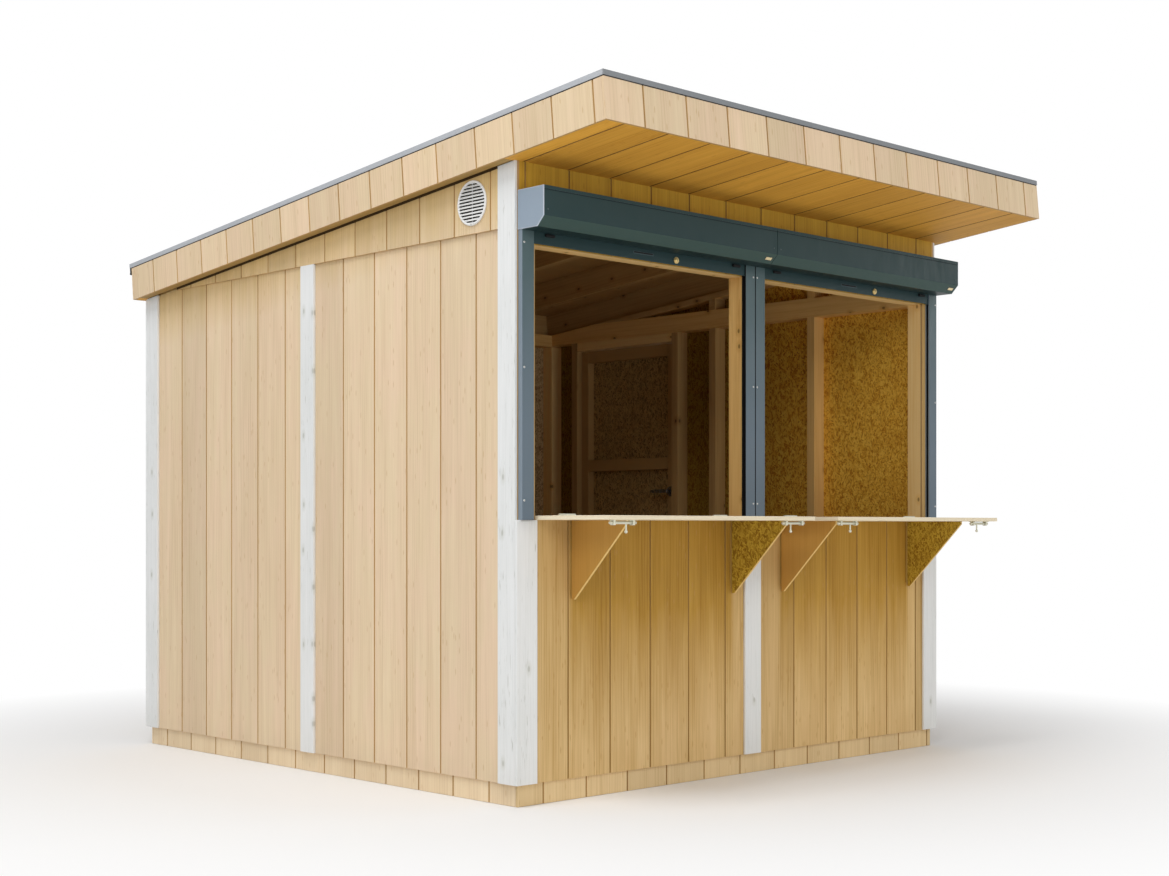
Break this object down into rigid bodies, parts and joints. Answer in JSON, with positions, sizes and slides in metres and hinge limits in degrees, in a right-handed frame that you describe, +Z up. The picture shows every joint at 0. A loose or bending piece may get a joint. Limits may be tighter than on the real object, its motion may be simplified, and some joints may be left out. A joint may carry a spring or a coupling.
{
  "type": "wooden market hut",
  "caption": "Timber sales hut with a mono-pitch roof, roller-shutter hatches over fold-up counters, folding brackets and a side door.",
  "frame": {"origin": "middle of the footprint, at ground level, on the underside of the middle joist", "axes": "+Z up, -Y out of the front with the hatches, +X to the right seen from the front"},
  "size_m": [2.517, 3.1215, 2.438],
  "materials": {
    "floor_timber": "sawn, pressure treated",
    "floor_boards": "planed boards",
    "frame_timber": "planed softwood",
    "roof_boards": "strand board",
    "siding": "grooved siding, tan stain",
    "soffit": "grooved siding, tan stain",
    "white_trim": "white paint over knots",
    "vent_white": "moulded",
    "roof_rubber": "smooth sheet",
    "edge_metal": "grey coat",
    "shutter_paint": "satin powder coat",
    "counter_ply": "sanded plywood",
    "bracket_board": "siding offcut",
    "hinge_steel": "zinc plated",
    "bolt_steel": "zinc plated",
    "handle_steel": "satin"
  },
  "bodies": {
    "hut": {"bottom_plates": "frame_timber", "corner_boards": "white_trim", "corner_posts": "frame_timber", "drip_edge": "roof_rubber", "edge_trim": "edge_metal", "end_top_plates": "frame_timber", "fascia_boards": "siding", "floor_deck": "floor_boards", "floor_joists": "floor_timber", "floor_rims": "floor_timber", "gable_panels": "siding", "gable_plates": "frame_timber", "gable_studs": "frame_timber", "gable_vent": "vent_white", "guide_rails": "shutter_paint", "hatch_sills": "frame_timber", "headers": "frame_timber", "hinge_plates": "hinge_steel", "mid_battens": "white_trim", "rafters": "frame_timber", "roof_deck": "roof_boards", "roof_end_rims": "frame_timber", "roof_membrane": "roof_rubber", "roof_side_rims": "frame_timber", "shutter_bottom_bars": "shutter_paint", "shutter_boxes": "shutter_paint", "side_top_plates": "frame_timber", "siding_back": "siding", "siding_front": "siding", "siding_left": "siding", "siding_right": "siding", "sill_boards": "counter_ply", "skirt_boards": "siding", "soffit_boards": "soffit", "wall_studs": "frame_timber"},
    "left_counter": {"counter_left": "counter_ply", "counter_left_hardware": "hinge_steel"},
    "right_counter": {"counter_right": "counter_ply", "counter_right_hardware": "hinge_steel"},
    "door": {"door_cladding": "siding", "door_frame": "frame_timber", "door_hinge_leaves": "hinge_steel", "door_handles": "handle_steel"},
    "folding_bracket_1": {"bracket_1": "bracket_board", "bracket_1_leaves": "hinge_steel"},
    "sliding_bolt_1": {"bolt_1": "bolt_steel"},
    "folding_bracket_2": {"bracket_2": "bracket_board", "bracket_2_leaves": "hinge_steel"},
    "sliding_bolt_2": {"bolt_2": "bolt_steel"},
    "folding_bracket_3": {"bracket_3": "bracket_board", "bracket_3_leaves": "hinge_steel"},
    "sliding_bolt_3": {"bolt_3": "bolt_steel"},
    "folding_bracket_4": {"bracket_4": "bracket_board", "bracket_4_leaves": "hinge_steel"},
    "sliding_bolt_4": {"bolt_4": "bolt_steel"}
  },
  "joints": [
    {"name": "left_counter_fold", "type": "hinge", "parent": "hut", "child": "left_counter", "pos_m": [-0.598, -1.2965, 1.009], "axis": [-1, 0, 0], "range_deg": [0, 90]},
    {"name": "right_counter_fold", "type": "hinge", "parent": "hut", "child": "right_counter", "pos_m": [0.598, -1.2965, 1.009], "axis": [-1, 0, 0], "range_deg": [0, 90]},
    {"name": "bracket_1_fold", "type": "hinge", "parent": "hut", "child": "folding_bracket_1", "pos_m": [-0.94, -1.275, 0.85], "axis": [0, 0, 1], "range_deg": [0, 90]},
    {"name": "bracket_2_fold", "type": "hinge", "parent": "hut", "child": "folding_bracket_2", "pos_m": [-0.1215, -1.275, 0.85], "axis": [0, 0, -1], "range_deg": [0, 90]},
    {"name": "bracket_3_fold", "type": "hinge", "parent": "hut", "child": "folding_bracket_3", "pos_m": [0.185, -1.275, 0.85], "axis": [0, 0, 1], "range_deg": [0, 90]},
    {"name": "bracket_4_fold", "type": "hinge", "parent": "hut", "child": "folding_bracket_4", "pos_m": [1.0005, -1.275, 0.85], "axis": [0, 0, -1], "range_deg": [0, 90]},
    {"name": "door_swing", "type": "hinge", "parent": "hut", "child": "door", "pos_m": [1.205, 0.985, 0.95], "axis": [0, 0, 1], "range_deg": [0, 100]},
    {"name": "bolt_1_slide", "type": "slide", "parent": "left_counter", "child": "sliding_bolt_1", "axis": [-1, 0, 0], "range_m": [-0.015, 0.045]},
    {"name": "bolt_2_slide", "type": "slide", "parent": "left_counter", "child": "sliding_bolt_2", "axis": [1, 0, 0], "range_m": [-0.015, 0.045]},
    {"name": "bolt_3_slide", "type": "slide", "parent": "right_counter", "child": "sliding_bolt_3", "axis": [-1, 0, 0], "range_m": [-0.015, 0.045]},
    {"name": "bolt_4_slide", "type": "slide", "parent": "right_counter", "child": "sliding_bolt_4", "axis": [1, 0, 0], "range_m": [-0.015, 0.045]}
  ]
}
